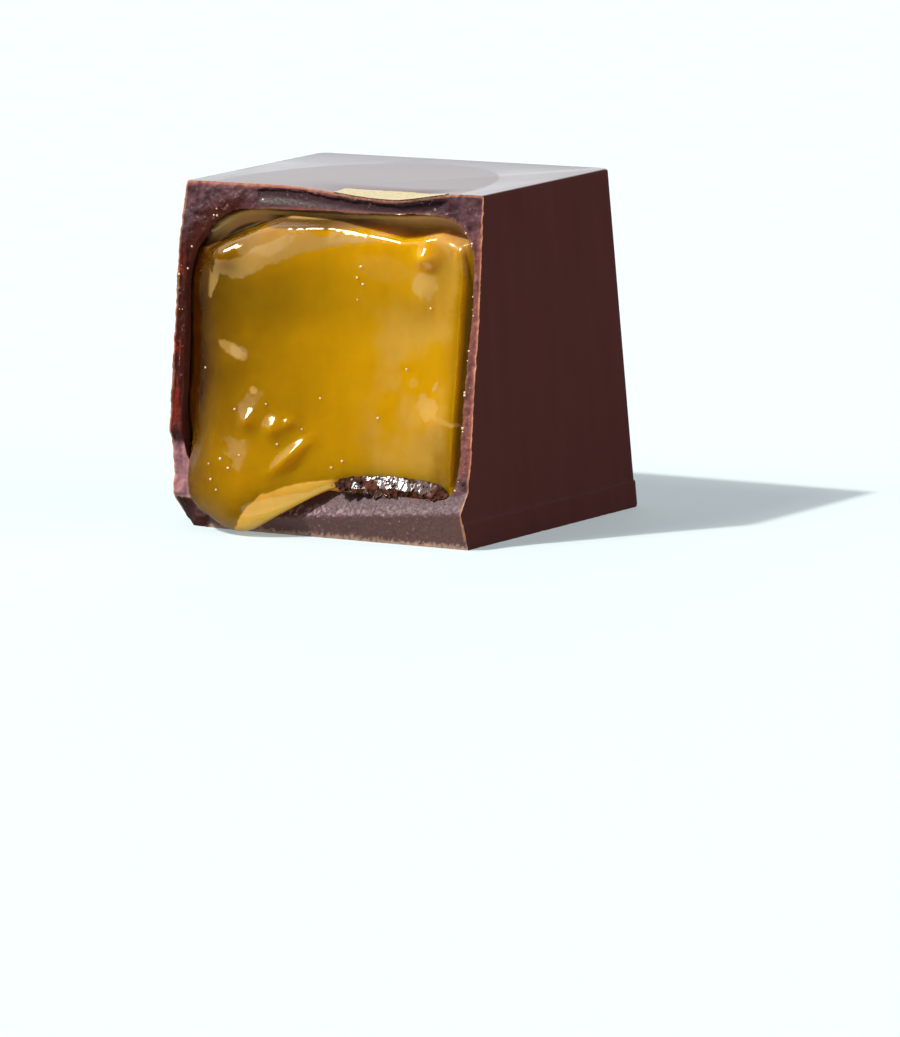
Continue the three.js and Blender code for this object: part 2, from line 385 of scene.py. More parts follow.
def make_whole_cube(material):
    rows = outer_rows()
    cells = SIDE_CELLS + CORNER_CELLS

    def place(step, row):
        z, inset = rows[row]
        side, cell = divmod(step, cells)
        half = wall_half(z) - inset
        half += FOOT_PROUD * smooth(z, FOOT_HEIGHT + FOOT_EDGE, FOOT_HEIGHT - FOOT_EDGE)
        straight = half - UPRIGHT_EDGE_ROUNDING
        if cell <= SIDE_CELLS:
            spot = Vector((lerp(-straight, straight, cell / SIDE_CELLS), -half, 0))
        else:
            turn = math.pi / 2 * (cell - SIDE_CELLS) / CORNER_CELLS
            spot = Vector((straight + UPRIGHT_EDGE_ROUNDING * math.sin(turn), 0, 0))
            spot.y = -straight - UPRIGHT_EDGE_ROUNDING * math.cos(turn)
        spot = Matrix.Rotation(math.pi / 2 * side, 3, "Z") @ spot
        chip = FOOT_CHIPS * max(0, grain(spot.x, spot.y, z, FOOT_CHIP_SIZE) + 0.15)
        spot -= spot.normalized() * chip * smooth(z, FOOT_CHIPS_HEIGHT, 0)
        spot.z = z
        return spot

    return new_object("cut_open_shell", bent_grid(4 * cells, len(rows) - 1, place), material)


HOLLOW_AROUND = 360
HOLLOW_ROWS = 90
HOLLOW_FRONT = -9.0
HOLLOW_WAVES = 0.07
HOLLOW_WAVE_SIZE = 1.6


def make_hollow_tool(material):
    back = TOP_SIDE / 2 - BACK_WALL

    def place(step, row):
        angle = 2 * math.pi * step / HOLLOW_AROUND
        y = lerp(HOLLOW_FRONT, back, row / HOLLOW_ROWS)
        way = Vector((math.cos(angle), 0, math.sin(angle)))
        reach = reach_at(HOLLOW_REACH, angle)
        reach += HOLLOW_WAVES * grain(way.x * reach, y * 0.5, way.z * reach, HOLLOW_WAVE_SIZE)
        spot = way * reach + Vector((MIDDLE[0], 0, MIDDLE[1]))
        spot.y = y
        return spot

    return new_object("hollow_tool", bent_grid(HOLLOW_AROUND, HOLLOW_ROWS, place), material)


CUT_MARGIN_SIDES = 1
CUT_MARGIN = 0.6


def make_cut_tool(material):
    half = BASE_SIDE / 2 + CUT_MARGIN_SIDES
    low, high = -CUT_MARGIN, HEIGHT + CUT_MARGIN
    cells = round(2 * half / CUT_CELL), round((high - low) / CUT_CELL)

    def place(across, up):
        x, z = lerp(-half, half, across), lerp(low, high, up)
        return Vector((x, cut_depth(x, z), z))

    def far(across, up):
        return Vector((lerp(-half, half, across), -BASE_SIDE, lerp(low, high, up)))

    return new_object("cut_tool", block_behind_grid(cells, place, far), material)


SPACE_FRONT = -7.0
SPACE_BACK = 1.5
SPACE_TALL = 2
SPACE_CELL = 0.15
SKIM = 1e-3


def make_space_above(material):
    """The space above the top face, which sinks towards the lip and stays just clear of the rest."""
    left, right = LIP_X - LIP_LEFT_REACH, LIP_X + LIP_RIGHT_REACH
    cells = round((right - left) / SPACE_CELL), round((SPACE_BACK - SPACE_FRONT) / SPACE_CELL)

    def place(across, up):
        x, y = lerp(left, right, across), lerp(SPACE_FRONT, SPACE_BACK, up)
        drop = top_drop(x, y)
        return Vector((x, y, HEIGHT - (drop if drop > SKIM else -SKIM)))

    def far(across, up):
        return Vector((lerp(left, right, across), lerp(SPACE_FRONT, SPACE_BACK, up), HEIGHT + SPACE_TALL))

    return new_object("space_above", block_behind_grid(cells, place, far), material)


# The parts of the cut that look different, where later ones cover earlier ones. Each has its colour, its
# strength as (least, how much more, the pattern it follows), and its edges as (measure, from none, to full).
CUT_PARTS = {
    "sheared_face": ("#331b1f", (0, 1, "sheared"), []),
    "left_wall": (
        "#3a1410", (0.75, 0.5, "upright"),
        [("x", -10.6, -11.2), ("z", 17.5, 14.5), ("z", 4.6, 5.6)],
    ),
    "right_wall": ("#8c5044", (0.45, 0.45, "upright"), [("x", 10.9, 11.4), ("z", 4, 5), ("z", 20.5, 18)]),
    "melted_rim": (
        "#3c1a14", (1, 0, "wander"),
        [("from_mouth", 1.6, 0.5), ("x", -5.5, -8.5), ("z", 5.5, 7.5)],
    ),
    "red_ribbons": (
        "#66211a", (1, 0, "wander"),
        [("x", -10.3, -10.8), ("z", 18, 16), ("z", 5.4, 6.4), ("upright", 0.05, 0.3)],
    ),
    "left_facet": (
        "#a47074", (0.75, 0.4, "upright"),
        [("x", -10.6, -10.9), ("z", 5.4, 4.8), ("z", 1.75, 1.95)],
    ),
    "upper_facet": ("#472b30", (0, 1, "base"), [("over_ridge", -0.06, 0.06)]),
    "lower_facet": ("#624541", (0, 1, "base"), [("over_ridge", 0.06, -0.06)]),
    "ridge_bloom": ("#9c7f86", (0, 1, "bloom"), [("from_bloom", 0.5, 0.1), ("fine", 0.05, 0.4)]),
    "pressed_strip": ("#7a4548", (0.8, 0, "wander"), [("from_top", 0.34, 0.26), ("x", 1.5, -1.5)]),
    "ragged_line": (
        "#240d0a", (0.85, 0, "wander"),
        [("from_ragged", 0.09, 0.03), ("x", -6.4, -5.8), ("x", 9.8, 9)],
    ),
    # Painted shade: the broken corner under the ledge is coloured near black for the shade it lies in,
    # facing down
    "broken_corner_painted_shade": ("#2e0f08", (0.8, 0.2, "wander"), [("x", -8.6, -9.0), ("z", 1.75, 1.6)]),
    "ledge": ("#c4988a", (0, 1, "wander"), [("x", -9.8, -10.4), ("from_ledge", 0.14, 0.05)]),
    "foot_crumbs": ("#caa48c", (0, 1, "crumbly_base"), [("over_foot", 0.34, 0.12)]),
    "mouth_rim": (
        "#8c4f42", (0.35, 0.5, "wander"),
        [("from_mouth", 0.2, 0.05), ("z", 3.6, 5), ("x", -7.5, -4)],
    ),
    # Painted rim light: a peach line along the cut's thin outer edges, for the light seen through them
    # edge-on
    "painted_rim_light": ("#dc9468", (0.15, 0.65, "wander"), [("from_edge", 0.17, 0.05), ("z", 0.4, 0.8)]),
}
BLOOM_OVER_RIDGE = 0.3
RAGGED_LINE_DOWN = 0.4
LEDGE_HEIGHT = 1.72


def cut_measures(x, y, z):
    """What the parts of the cut go by at one point: distances in mm, and patterns."""
    from_top = HEIGHT - top_drop(x, y) - z
    angle, distance = round_middle(x, z)
    over_ridge = z - ridge_at(x)
    base = base_band(x, z)
    wander = 0.5 + 0.5 * grain(x, 2, z, 0.5)
    fine = grain(x, 6, z, 0.16, 2)
    return {
        "x": x,
        "z": z,
        "from_top": from_top,
        "from_edge": min(wall_half(z) - abs(x), from_top),
        "from_mouth": distance - reach_at(HOLLOW_REACH, angle),
        "from_ragged": abs(from_top - RAGGED_LINE_DOWN - 0.06 * grain(x, 3, 0, 0.4, 3)),
        "from_ledge": abs(z - LEDGE_HEIGHT),
        "from_bloom": abs(over_ridge - BLOOM_OVER_RIDGE),
        "over_ridge": over_ridge,
        "over_foot": z + 0.25 * fine,
        "sheared": sheared(x, z),
        "upright": grain(x, 0, z * 0.1, 0.3, 2),
        "wander": wander,
        "fine": fine,
        "base": base,
        "crumbly_base": base * (0.3 + 0.6 * wander),
        "bloom": base * lerp(0.75, 0.3, smooth(x, -4, 9)),
    }


def mark_cut(piece):
    """Keeps on each point how much each part of the cut shows there."""
    marks = {name: [] for name in CUT_PARTS}
    for vert in piece.data.vertices:
        measures = cut_measures(*vert.co)
        for name, (_, (least, more, pattern), edges) in CUT_PARTS.items():
            share = least + more * measures[pattern]
            for measure, start, full in edges:
                share *= smooth(measures[measure], start, full)
            marks[name].append(share)
    for name, values in marks.items():
        piece.data.attributes.new(name, "FLOAT", "POINT").data.foreach_set("value", values)


def make_shell(cut_tool, hollow_material, outer_material):
    shell = make_whole_cube(outer_material)
    hollow_tool = make_hollow_tool(hollow_material)
    space_above = make_space_above(outer_material)
    take_away(shell, space_above)
    take_away(shell, hollow_tool)
    take_away(shell, cut_tool)
    bpy.data.objects.remove(hollow_tool)
    bpy.data.objects.remove(space_above)
    mark_cut(shell)
    put_in_place(shell, "shell", sharp_over=42)


# The caramel

CARAMEL_CELLS = 288
RIM_RINGS = 8
SINKS_IN = 0.08

# Its front leans back as the cut does, more so on the right, and stands out most on the left
FRONT_FOOT = -4.4
FRONT_LEANS = (0.125, 0.187)
PILLOW_STANDS_OUT = (1.0, -0.15)
PILLOW_FROM_TO = (-6, 7)

# The rounded top of the front starts lower and turns more gently on the left
SHOULDER_HEIGHT = 16.6
SHOULDER_RISE = 1.95
SHOULDER_X = -2.0
SHOULDER_WIDTH = 4.2
SHOULDER_TURNS = (0.14, 2.0)
SHOULDER_FROM_TO = (-1, 8.5)
SHOULDER_EASES = (5.5, 8)
CREST = [
    (-9, 17.2), (-6.6, 18.0), (-4.8, 18.7), (-3.3, 19.02), (-1, 19.05), (1, 19.12),
    (2.4, 19.03), (3.7, 18.86), (4.9, 18.66), (6.1, 18.35), (7.2, 18.45), (8.8, 18.72), (10.5, 18.1),
]
CREST_TURNS = 1.3
CREST_PLUNGES = 6
PLUNGE_STARTS = 0.25
DEEPEST = [(-10, 2.0), (-8.2, 0.65), (0, 0.5)]
DEEPEST_NEAR_TOP = 1.0
NEAR_TOP = (14.5, 17)
SHALLOWEST = 0.3

# Its top is pushed out with the lip
TOP_PUSH = 0.7
TOP_PUSH_FROM_LEFT = (-9, -3.5)
TOP_PUSH_FROM_RIGHT = (10.2, 7.7)
TOP_HUMP = 0.35
TOP_HUMP_RISES = (-9, -4)
TOP_HUMP_FALLS = (1, -4)
TOP_PUSH_STARTS = (12.5, 17.5)

# Under the mouth's upper edge it creeps up the wall again in a thin concave rim
CREEPS_UNDER_EDGE = 0.3
CREEP_REACH = 0.3
CREEP_FROM_TO = (0.52, 0.66)

# The left side falls back behind the wall, less so near the top
LEFT_FALL_STARTS = (-6.6, -7.9)
LEFT_FALL_SLOPES = (0.45, 0.6)
LEFT_FALL_HEIGHTS = (9, 15.5)
LEFT_FALL_ENDS = (1, 6)

# The right side curls forward against the wall
CURL_FROM = 7
CURL_TURNS = 0.09
RIGHT_EDGE_FROM = 11.0
RIGHT_EDGE_TURNS = 3

# Behind its rim it goes back along the hollow's wall, or is hidden behind the base's cut under the run
RIM_DRAWN_OUT = 0.3
RIM_KEPT_IN = (0.5, 0.8)
RIM_BEHIND_CUT = 0.12
HIDDEN_BEHIND_CUT = (0.05, 0.5)
HIDES_FROM_TO = (-0.25, 0.25)
BACK_ROUNDING = 1.5

# The run hangs out over the base on the left
RUN_OUT = 1.6
RUN_MIDDLE = (-4.6, 3.0)
RUN_WIDTHS = (6.0, 4.2)
RUN_HEIGHTS = (5.0, 6.2)
RUN_BELOW = (8, 2)
RUN_LEFT_OF = (4.5, 1.4)
RUN_STANDS_OFF = 0.35
RUN_BACK = [(-1, -4.75), (1.2, -4.9), (8, -3.3)]
RUN_EDGE = 6
BOTTOM_FALL_FROM = 5.2
BOTTOM_FALL_TURNS = 0.25
BOTTOM_FALL_STARTS = (0, 3)

# Lumps on the front, as (x, z, how far out, width across, width up, turn in degrees)
CARAMEL_LUMPS = [
    (-4.3, 7.3, 0.42, 0.78, 0.63, 0),
    (-2.3, 6.9, 0.42, 0.74, 0.62, 0),
    (-1.4, 7.2, 0.2, 0.36, 0.32, 0),
    (-1.0, 5.2, 0.4, 1.3, 0.42, 44),
    (-7.3, 17.5, 1.02, 1.4, 1.0, 10),
    (8.0, 15.3, 0.24, 1.3, 1.3, 0),
    (9.0, 7.6, 0.26, 1.5, 1.2, 10),
    (-6.0, 10.8, 0.2, 1.4, 0.8, -25),
    (8.2, 17.7, 0.5, 0.8, 0.56, 0),
]
RIPPLE_DEPTH = 0.016
RIPPLE_SIZE = 0.9
CREST_RIPPLE_DEPTH = 0.014
CREST_RIPPLE_SIZE = 0.35
CREST_RIPPLES_START = (-0.8, -0.2)


# How clear the amber looks: little by the dark left wall, which shows through and whose shade is painted in,
# most right of the middle
CLEAR_AND_PAINTED_SHADE = [
    (-10.5, 0), (-9.2, 0.07), (-8.0, 0.18), (-7.0, 0.26), (-4.8, 0.43), (-2.8, 0.6), (-0.9, 0.74),
    (1.1, 0.86), (3.1, 0.97), (9.0, 0.97), (10.4, 0.75), (11.2, 0.45),
]
# Painted shade under the mouth's upper edge, where the lip shades the caramel, darkest right by the wall
UNDER_EDGE_PAINTED_SHADE = 0.55
UNDER_EDGE = (1.15, 0.75)
DARK_AT_EDGE = (0.15, 0.4)

# Painted reflections, as paler places on its skin: a band under the crest, a veil on the right and small
# patches; and painted light on the run's lower edge
BAND_LOW = [(-8.5, 14.5), (-7.6, 16.1), (-5.6, 15.9), (-4.0, 16.6), (-1.2, 17.65), (1.0, 18.1), (4.2, 18.4)]
BAND_TALL = [(-8.9, 1.8), (-7.6, 1.0), (-4.5, 1.6), (-2.3, 1.5), (0.6, 0.8), (3.3, 0.5), (4.4, 0)]
BAND_REFLECTION = 0.45
# The band of painted reflection also darkens the amber under it by this share, as painted shade
BAND_DIMS = 0.42
RUN_PATCH_TOP = [(-6.5, -0.1), (-5.0, 0.7), (-4.2, 1.5), (-2.7, 2.8), (-1.0, 3.35), (0.2, 3.6), (1.1, 3.7)]
VEIL_REFLECTION = 0.3
VEIL_FROM_LEFT = (2.2, 5.5)
VEIL_FROM_RIGHT = (10.9, 9.8)
VEIL_FROM_BELOW = (2, 6)
VEIL_FROM_ABOVE = (16.5, 12.5)
RIM_REFLECTION = 1.0
RIM_STARTS = (0.62, 0.5)
RIM_ENDS = (0.22, 0.34)
PATCH_REFLECTION = 0.75
PATCH_RAGGED = 0.35
PATCH_EDGE = (1.12, 0.85)
# Painted shade in the trough under the upper edge: brown where thin caramel lies over the chocolate and the
# lip shades it; its painted light makes it palest where it lies in shadow
TROUGH_BROWN = 0.85
TROUGH_STARTS = (1.2, 0.95)
TROUGH_ENDS = (0.1, 0.25)
TROUGH_RIGHT = 0.65
TROUGH_WIDENS = (3, 5)
TROUGH_STARTS_RIGHT = (1.9, 1.55)
TROUGH_PAINTED_LIGHT = [(-9, 0.8), (-6, 0.8), (-4.8, 0.15), (0, 0.05), (2.2, 0.3), (4, 0.7)]

# Each patch of painted reflection as (x, z, half its width, half its height, turn in degrees, how strong)
REFLECTION_PATCHES = [
    (8.2, 16.0, 0.95, 0.85, 0, 0.9),
    (8.6, 8.45, 1.1, 0.7, -20, 0.75),
    (10.2, 7.75, 1.1, 0.16, -12, 0.6),
    (9.9, 7.0, 0.3, 0.35, 0, 0.45),
    (9.1, 9.8, 0.16, 0.42, -35, 0.9),
    (-6.3, 11.5, 1.25, 0.33, -22, 0.55),
    (-4.25, 9.12, 0.42, 0.22, -20, 0.75),
    (7.2, 9.9, 0.4, 0.3, 20, 0.35),
    (9.3, 16.2, 1.5, 2.6, 0, 0.24),
    (5.2, 16.9, 2.6, 0.8, -8, 0.15),
]


def on_disc(u, v):
    """The share of the way out, and the angle, of a point of a square that is rounded into a disc."""
    share = max(abs(u), abs(v))
    if share == 0:
        return 0.0, 0.0
    if abs(u) >= abs(v):
        angle = math.pi / 4 * v / abs(u)
        return share, angle if u > 0 else math.pi - angle
    angle = math.pi / 4 * u / abs(v)
    return share, math.pi / 2 - angle if v > 0 else -math.pi / 2 + angle


def from_spot(x, z, spot_x, spot_z, turn):
    """How far across and how far up a point is from a spot that is turned by some degrees."""
    right, up = x - spot_x, z - spot_z
    slant = math.radians(turn)
    return right * math.cos(slant) + up * math.sin(slant), up * math.cos(slant) - right * math.sin(slant)


def lumps(x, z):
    total = 0.0
    for lump_x, lump_z, out, wide, tall, turn in CARAMEL_LUMPS:
        across, up = from_spot(x, z, lump_x, lump_z, turn)
        total += out * math.exp(-(across / wide) ** 2 - (up / tall) ** 2)
    return total


def past(value, start):
    return max(0.0, value - start)


def level_off(fall, most):
    """Follows a fall, and levels off smoothly where it would get deeper than the most."""
    return fall / (1 + (fall / most) ** 4) ** 0.25


def shoulder_fall(x, z):
    start = SHOULDER_HEIGHT + SHOULDER_RISE * math.tanh((x - SHOULDER_X) / SHOULDER_WIDTH)
    turns = lerp(*SHOULDER_TURNS, smooth(x, *SHOULDER_FROM_TO))
    turns *= lerp(1, 0.5, smooth(x, *SHOULDER_EASES))
    crest = along(CREST, x)
    over_crest = CREST_TURNS * past(z, crest) ** 2 + CREST_PLUNGES * past(z, crest + PLUNGE_STARTS) ** 2
    return turns / 2 * past(z, start) ** 2 + over_crest


def left_fall(x, z):
    high = smooth(z, *LEFT_FALL_HEIGHTS)
    start, slope = lerp(*LEFT_FALL_STARTS, high), lerp(*LEFT_FALL_SLOPES, high)
    return slope * (math.hypot(past(start, x), 1) - 1) * smooth(z, *LEFT_FALL_ENDS)


def run_bulge(x, z):
    wide = RUN_WIDTHS[x > RUN_MIDDLE[0]]
    tall = RUN_HEIGHTS[z > RUN_MIDDLE[1]]
    return RUN_OUT * math.exp(-((x - RUN_MIDDLE[0]) / wide) ** 2 - ((z - RUN_MIDDLE[1]) / tall) ** 2)


def run_back(z):
    """The smooth slope that the run lies on."""
    return along(RUN_BACK, z)


def inside_mouth(x, z):
    """How far a point is inside the mouth's edge, and 1 where that edge is the upper one."""
    angle, distance = round_middle(x, z)
    return reach_at(HOLLOW_REACH, angle) - distance, smooth(math.sin(angle), *CREEP_FROM_TO)


def top_creep(x, z):
    """1 on the wall over the caramel, fading quickly downwards."""
    from_wall, upper = inside_mouth(x, z)
    return upper * math.exp(-past(from_wall, 0) / CREEP_REACH)


def front_depth(x, z, share):
    """The y of the caramel's front, at a point that is a share of the way out to its rim."""
    in_run = smooth(z, *RUN_BELOW) * smooth(x, *RUN_LEFT_OF)
    plane = FRONT_FOOT + z * lerp(*FRONT_LEANS, (x + TOP_SIDE / 2) / TOP_SIDE)
    base = lerp(plane, run_back(z) - RUN_STANDS_OFF * (1 - share), in_run)
    edge = lerp(1, math.sqrt(1 - min(1, share) ** RUN_EDGE), in_run)
    pillow = lerp(*PILLOW_STANDS_OUT, smooth(x, *PILLOW_FROM_TO))
    push = TOP_PUSH * smooth(x, *TOP_PUSH_FROM_LEFT) * smooth(x, *TOP_PUSH_FROM_RIGHT)
    push += TOP_HUMP * smooth(x, *TOP_HUMP_RISES) * smooth(x, *TOP_HUMP_FALLS)
    pillow += push * smooth(z, *TOP_PUSH_STARTS)
    out = (pillow + run_bulge(x, z)) * edge + lumps(x, z) * lerp(1, edge, in_run)
    out += CURL_TURNS / 2 * past(x, CURL_FROM) ** 2 - RIGHT_EDGE_TURNS / 2 * past(x, RIGHT_EDGE_FROM) ** 2
    out -= BOTTOM_FALL_TURNS / 2 * past(BOTTOM_FALL_FROM, z) ** 2 * smooth(x, *BOTTOM_FALL_STARTS)
    deepest = plain_cut(x, z) + lerp(along(DEEPEST, x), DEEPEST_NEAR_TOP, smooth(z, *NEAR_TOP))
    fall = level_off(shoulder_fall(x, z) + left_fall(x, z), max(SHALLOWEST, deepest - base + out))
    ripples = RIPPLE_DEPTH * grain(x, 0, z, RIPPLE_SIZE, 2)
    on_crest = smooth(z - along(CREST, x), *CREST_RIPPLES_START)
    ripples += CREST_RIPPLE_DEPTH * grain(x, 9, z, CREST_RIPPLE_SIZE, 1) * on_crest
    y = base - out + fall + ripples
    return y - top_creep(x, z) * max(0.0, y - plain_cut(x, z) - CREEPS_UNDER_EDGE)


def band(x, z):
    """1 in the band under the crest where a reflection is painted as a paler skin."""
    above_low = z - along(BAND_LOW, x) + 0.16 * grain(x, 1, z, 0.7)
    tall = along(BAND_TALL, x)
    return smooth(x, -9.0, -8.6) * smooth(above_low, 0, 0.12) * smooth(above_low, tall + 0.1, tall)


def clear_and_painted_shade(x, z):
    """1 where the caramel is clear, 0 where the dark wall shows through it and where shade is painted."""
    shade = lerp(along(CLEAR_AND_PAINTED_SHADE, x), along(CLEAR_AND_PAINTED_SHADE, x + 1.5), smooth(z, 8.5, 4.5))
    shade = clamp(shade + 0.05 * grain(x, 2, z, 2.2)) * lerp(1, 0.86, smooth(x, -3, 2) * smooth(z, 9, 5))
    from_wall, upper = inside_mouth(x, z)
    # Painted shade under the mouth's upper edge and under the band of painted reflection
    shade *= lerp(1, UNDER_EDGE_PAINTED_SHADE, smooth(from_wall, *UNDER_EDGE) * upper) * (1 - BAND_DIMS * band(x, z))
    return shade * lerp(1, smooth(from_wall, *DARK_AT_EDGE), upper)


def painted_reflection(x, z):
    """How strongly a reflection is painted on the caramel's skin as a paler colour."""
    found = BAND_REFLECTION * band(x, z)
    for middle_x, middle_z, wide, tall, turn, strength in REFLECTION_PATCHES:
        across, up = from_spot(x, z, middle_x, middle_z, turn)
        reach = math.hypot(across / wide, up / tall) + PATCH_RAGGED * grain(x, 4, z, 0.8)
        found = max(found, PATCH_REFLECTION * strength * smooth(reach, *PATCH_EDGE))
    veil = smooth(x, *VEIL_FROM_LEFT) * smooth(x, *VEIL_FROM_RIGHT)
    veil *= smooth(z, *VEIL_FROM_BELOW) * smooth(z, *VEIL_FROM_ABOVE)
    veil *= VEIL_REFLECTION * smooth(grain(x, 8, z, 2.4), -0.5, 0.35)
    from_wall, upper = inside_mouth(x, z)
    rim = RIM_REFLECTION * smooth(from_wall, *RIM_STARTS) * smooth(from_wall, *RIM_ENDS)
    return max(found, veil, upper * rim)


def trough(x, z):
    """1 in the trough between the crest and the mouth's upper edge, brown from thin caramel and painted
    shade.
    """
    from_wall, upper = inside_mouth(x, z)
    on_right = TROUGH_RIGHT * smooth(x, *TROUGH_WIDENS) * smooth(from_wall, *TROUGH_STARTS_RIGHT)
    in_trough = max(smooth(from_wall, *TROUGH_STARTS), on_right) * smooth(from_wall, *TROUGH_ENDS)
    return TROUGH_BROWN * upper * in_trough


def trough_painted_light(x, z):
    """1 where painted light makes the trough's brown palest, where the trough lies in shadow."""
    return along(TROUGH_PAINTED_LIGHT, x)


def run_painted_light(x, z):
    """1 on the run's lower edge, where the light from the bright table is painted in as a brighter yellow.
    """
    top = along(RUN_PATCH_TOP, x) + 0.08 * grain(x, 1, z, 0.7)
    return smooth(z, top + 0.06, top - 0.06) * smooth(x, 2.2, 1.2)


# What the caramel's material goes by at each point
CARAMEL_MARKS = {
    "clear_and_painted_shade": clear_and_painted_shade,
    "painted_reflection": painted_reflection,
    "trough": trough,
    "trough_painted_light": trough_painted_light,
    "run_painted_light": run_painted_light,
}


def at_angle(angle, reach, y):
    return Vector((MIDDLE[0] + math.cos(angle) * reach, y, MIDDLE[1] + math.sin(angle) * reach))


def rim_point(angle, ring):
    """A point behind the front's rim."""
    outer = reach_at(CARAMEL_REACH, angle)
    wall = reach_at(HOLLOW_REACH, angle) + SINKS_IN
    back = TOP_SIDE / 2 - BACK_WALL - CARAMEL_BACK_GAP
    if ring > RIM_RINGS:
        rounding = BACK_ROUNDING * (ring - RIM_RINGS - 1)
        return at_angle(angle, wall - rounding, back - BACK_ROUNDING + rounding)
    share = ring / RIM_RINGS
    spot = at_angle(angle, lerp(outer, wall, share), 0)
    cut = plain_cut(spot.x, spot.z)
    drawn_out = lerp(RIM_DRAWN_OUT, 0, smooth(-math.cos(angle), *RIM_KEPT_IN)) * share * share
    creeps = max(front_depth(spot.x, spot.z, 1) - drawn_out, cut + RIM_BEHIND_CUT * share)
    hidden = cut + HIDDEN_BEHIND_CUT[0] + HIDDEN_BEHIND_CUT[1] * share
    spot.y = lerp(creeps, hidden, smooth(outer - wall, *HIDES_FROM_TO))
    return spot


def make_caramel(material):
    bm = bmesh.new()
    bmesh.ops.create_grid(bm, x_segments=CARAMEL_CELLS, y_segments=CARAMEL_CELLS, size=1)
    for vert in bm.verts:
        share, angle = on_disc(vert.co.x, vert.co.y)
        reach = math.sin(share * math.pi / 2)
        vert.co = at_angle(angle, reach * reach_at(CARAMEL_REACH, angle), 0)
        vert.co.y = front_depth(vert.co.x, vert.co.z, reach)
    for ring in range(1, RIM_RINGS + 3):
        edges = [edge for edge in bm.edges if edge.is_boundary]
        extruded = bmesh.ops.extrude_edge_only(bm, edges=edges)["geom"]
        for item in extruded:
            if isinstance(item, bmesh.types.BMVert):
                angle, _ = round_middle(item.co.x, item.co.z)
                item.co = rim_point(angle, ring)
    bmesh.ops.holes_fill(bm, edges=[edge for edge in bm.edges if edge.is_boundary])
    bmesh.ops.recalc_face_normals(bm, faces=bm.faces)
    caramel = new_object("caramel_centre", bm, material)
    places = [(vert.co.x, vert.co.z) for vert in caramel.data.vertices]
    for name, measure in CARAMEL_MARKS.items():
        values = [measure(x, z) for x, z in places]
        caramel.data.attributes.new(name, "FLOAT", "POINT").data.foreach_set("value", values)
    put_in_place(caramel, "caramel_filling", sharp_over=80)


# The wet crumbs along the foot of the caramel, where it meets the base

WET_CELLS = (300, 30)
WET_FROM_TO = (1.5, 10.7)
WET_LOW = [(1.5, 3.4), (3, 3.15), (5, 2.85), (9, 2.75), (10.7, 3.1)]
WET_HIGH = [(1.5, 3.6), (3, 3.95), (6, 4.05), (9, 3.9), (10.7, 3.7)]
WET_RAGGED = 0.2
WET_LEANS = (0.84, 0.4)
WET_BENDS = 0.7
WET_ROUGH = 0.036
WET_LUMP = 0.42
WET_THICK = 0.5
WET_LEFT_END = (2.3, 1.5)
WET_RIGHT_END = (9.9, 10.7)
WET_ENDS_SINK = 0.35
WET_SINKS_IN = 0.02
CRUMB_COUNT = 150
WET_CRUMB_SIZES = (0.05, 0.12)


def wet_spot(x, up):
    low = along(WET_LOW, x) + WET_RAGGED * grain(x, 12, 0, 0.4, 3)
    high = along(WET_HIGH, x)
    z = lerp(low, high + 0.4 * WET_RAGGED * grain(x, 15, 0, 0.5, 2), up)
    ends = WET_ENDS_SINK * max(smooth(x, *WET_LEFT_END), smooth(x, *WET_RIGHT_END))
    back = front_depth(x, high, 0.9) - WET_SINKS_IN
    ragged = WET_ROUGH * (grain(x, 0, z, WET_LUMP, 2) + 0.35 * abs(grain(x, 4, z, 0.16, 2)))
    drop = high - z
    lean = WET_LEANS[0] * min(drop, WET_BENDS) + WET_LEANS[1] * past(drop, WET_BENDS)
    return Vector((x, back - lean + ragged + ends, z))


def make_wet_crumbs(material):
    """A thin wet bed of crumbs, with single crumbs sunk into it."""
    left, right = WET_FROM_TO

    def place(across, up):
        return wet_spot(lerp(left, right, across), up)

    def far(across, up):
        return wet_spot(lerp(left, right, across), up) + Vector((0, WET_THICK, 0))

    bm = block_behind_grid(WET_CELLS, place, far)
    for _ in range(CRUMB_COUNT):
        x = random.uniform(left, right)
        size = random.uniform(*WET_CRUMB_SIZES)
        spot = wet_spot(x, random.uniform(0, 0.95) ** 2) + Vector((0, 0.35 * size, 0))
        add_lump(bm, spot, size)
    piece = new_object("wet_crumbs", bm, material)
    put_in_place(piece, sharp_over=70)


def add_lump(bm, spot, size):
    """A small uneven lump, turned and stretched at random."""
    turn = Matrix.Rotation(random.uniform(0, math.pi), 4, Vector((random.random(), random.random(), 1)))
    stretches = random.uniform(0.8, 1.3), random.uniform(0.8, 1.2), random.uniform(0.7, 1.1), 1
    matrix = Matrix.Translation(spot) @ turn @ Matrix.Diagonal(stretches)
    bmesh.ops.create_icosphere(bm, subdivisions=2, radius=size, matrix=matrix)


# Air bubbles under the caramel's skin, as (x, z)
BUBBLE_SIZES = (0.06, 0.1)
BUBBLES = [
    (3.3, 17.0), (3.0, 16.3), (3.4, 15.9), (2.9, 14.9), (8.6, 14.6), (0.4, 8.7), (-0.6, 6.8), (-5.5, 7.9),
    (-7.0, 4.5), (-4.4, 5.2), (-5.1, 4.4), (2.3, 4.9), (1.6, 4.5), (6.6, 10.7), (-3.2, 8.3), (-2.0, 5.9),
    (-5.9, 4.9), (-6.6, 3.6), (-6.0, 3.0), (4.6, 7.6), (-9.2, 10.1),
]


